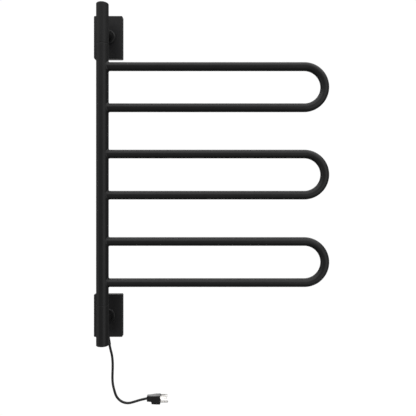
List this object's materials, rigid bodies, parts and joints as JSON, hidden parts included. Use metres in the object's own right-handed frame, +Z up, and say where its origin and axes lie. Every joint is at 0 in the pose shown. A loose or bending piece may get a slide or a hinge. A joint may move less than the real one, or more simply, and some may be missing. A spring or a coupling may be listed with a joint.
{
  "type": "towel warmer rack",
  "caption": "Wall-hung electric towel warmer: a round post on box brackets, with U-shaped bars that swing on its middle length, and a mains lead with a plug.",
  "frame": {"origin": "middle of the lower wall plate's screw pattern, on the wall plane", "axes": "+Z up along the post, +Y into the wall, +X the way the bars reach at rest; the post's axis is at y = -0.072"},
  "size_m": [0.5572, 0.0863, 0.9498],
  "materials": {
    "powder_coat": "satin black powder coat",
    "zinc_steel": "zinc plated",
    "black_screw": "black oxide",
    "turned_steel": "turned",
    "bush_plastic": "matt",
    "washer_plastic": "matt black",
    "cord_sheath": "satin",
    "plug_plastic": "moulded satin",
    "blade_metal": "nickel plated",
    "terminal_plastic": "matt",
    "brass": "plain",
    "wire_sleeve": "braided glass sleeve",
    "cable_sleeve": "silicone"
  },
  "bodies": {
    "wall_frame": {"lower_wall_plate": "zinc_steel", "upper_wall_plate": "zinc_steel", "lower_bracket_cover": "powder_coat", "upper_bracket_cover": "powder_coat", "lower_cover_screws": "black_screw", "upper_cover_screws": "black_screw", "lower_arm": "powder_coat", "upper_arm": "powder_coat", "lower_collar": "powder_coat", "upper_collar": "powder_coat", "arm_welds": "powder_coat", "lower_post_section": "powder_coat", "upper_post_section": "powder_coat", "lower_end_cap": "powder_coat", "upper_end_cap": "powder_coat", "lower_spindle": "turned_steel", "upper_spindle": "turned_steel", "lower_spindle_screws": "black_screw", "upper_spindle_screws": "black_screw", "terminal_block": "terminal_plastic", "terminal_screws": "zinc_steel", "cord_conductors": "wire_sleeve", "earth_screw": "brass", "supply_leads": "wire_sleeve", "cord": "cord_sheath", "cord_strain_relief": "cord_sheath", "plug_body": "plug_plastic", "plug_blades": "blade_metal", "plug_earth_pin": "blade_metal"},
    "swing": {"swivel_post": "powder_coat", "bar_welds": "powder_coat", "lower_bearing_housing": "turned_steel", "upper_bearing_housing": "turned_steel", "lower_bush": "bush_plastic", "upper_bush": "bush_plastic", "lower_thrust_washer": "washer_plastic", "upper_thrust_washer": "washer_plastic", "stop_pin": "turned_steel", "crimp_connectors": "zinc_steel", "post_wiring": "wire_sleeve", "thermal_cutout": "terminal_plastic", "lower_bar": "powder_coat", "middle_bar": "powder_coat", "upper_bar": "powder_coat", "lower_heating_cable": "cable_sleeve", "middle_heating_cable": "cable_sleeve", "upper_heating_cable": "cable_sleeve"}
  },
  "joints": [
    {"name": "swing_hinge", "type": "hinge", "parent": "wall_frame", "child": "swing", "pos_m": [0, -0.072, 0.339], "axis": [0, 0, -1], "range_deg": [0, 180]}
  ]
}
